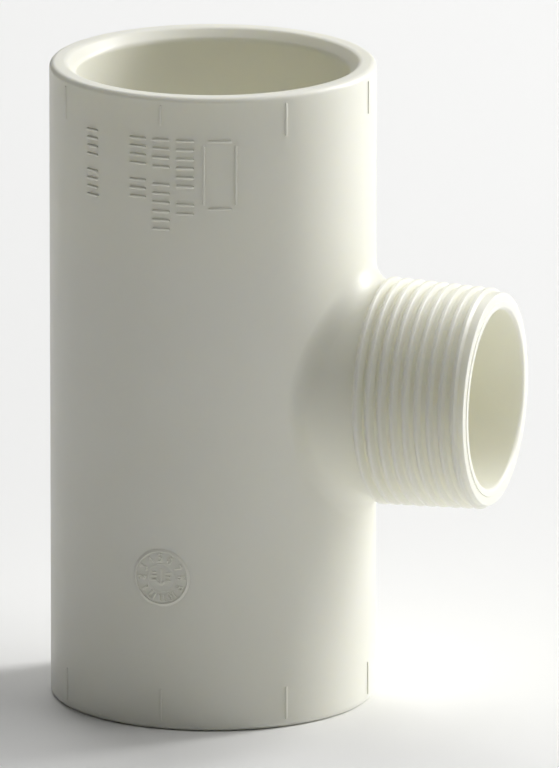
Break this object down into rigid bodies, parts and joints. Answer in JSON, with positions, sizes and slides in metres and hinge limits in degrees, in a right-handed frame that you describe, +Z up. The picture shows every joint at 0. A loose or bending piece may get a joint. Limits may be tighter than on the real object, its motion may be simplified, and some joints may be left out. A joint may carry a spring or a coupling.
{
  "type": "pipe tee",
  "caption": "Rigid plastic pressure tee: plain solvent-cement sockets in line at both ends of a straight barrel, and one side outlet with a male taper pipe thread.",
  "frame": {"origin": "the point where the axis of the run and the axis of the branch cross", "axes": "+Z up along the run towards the marked end, +X out along the branch, so -Y is the side with the raised marks"},
  "size_m": [0.0853, 0.0607, 0.1198],
  "materials": {
    "moulding": "injection-moulded rigid PVC, satin gloss, warm ivory white",
    "raised_detail": "the same moulded PVC, raised a fraction of a millimetre"
  },
  "bodies": {
    "root": {"upper_socket": "moulding", "lower_socket": "moulding", "run_body": "moulding", "spigot_core": "moulding", "thread_ridge": "moulding", "upper_alignment_ticks": "raised_detail", "lower_alignment_ticks": "raised_detail", "date_dial": "raised_detail", "marking_bars": "raised_detail"}
  },
  "joints": []
}
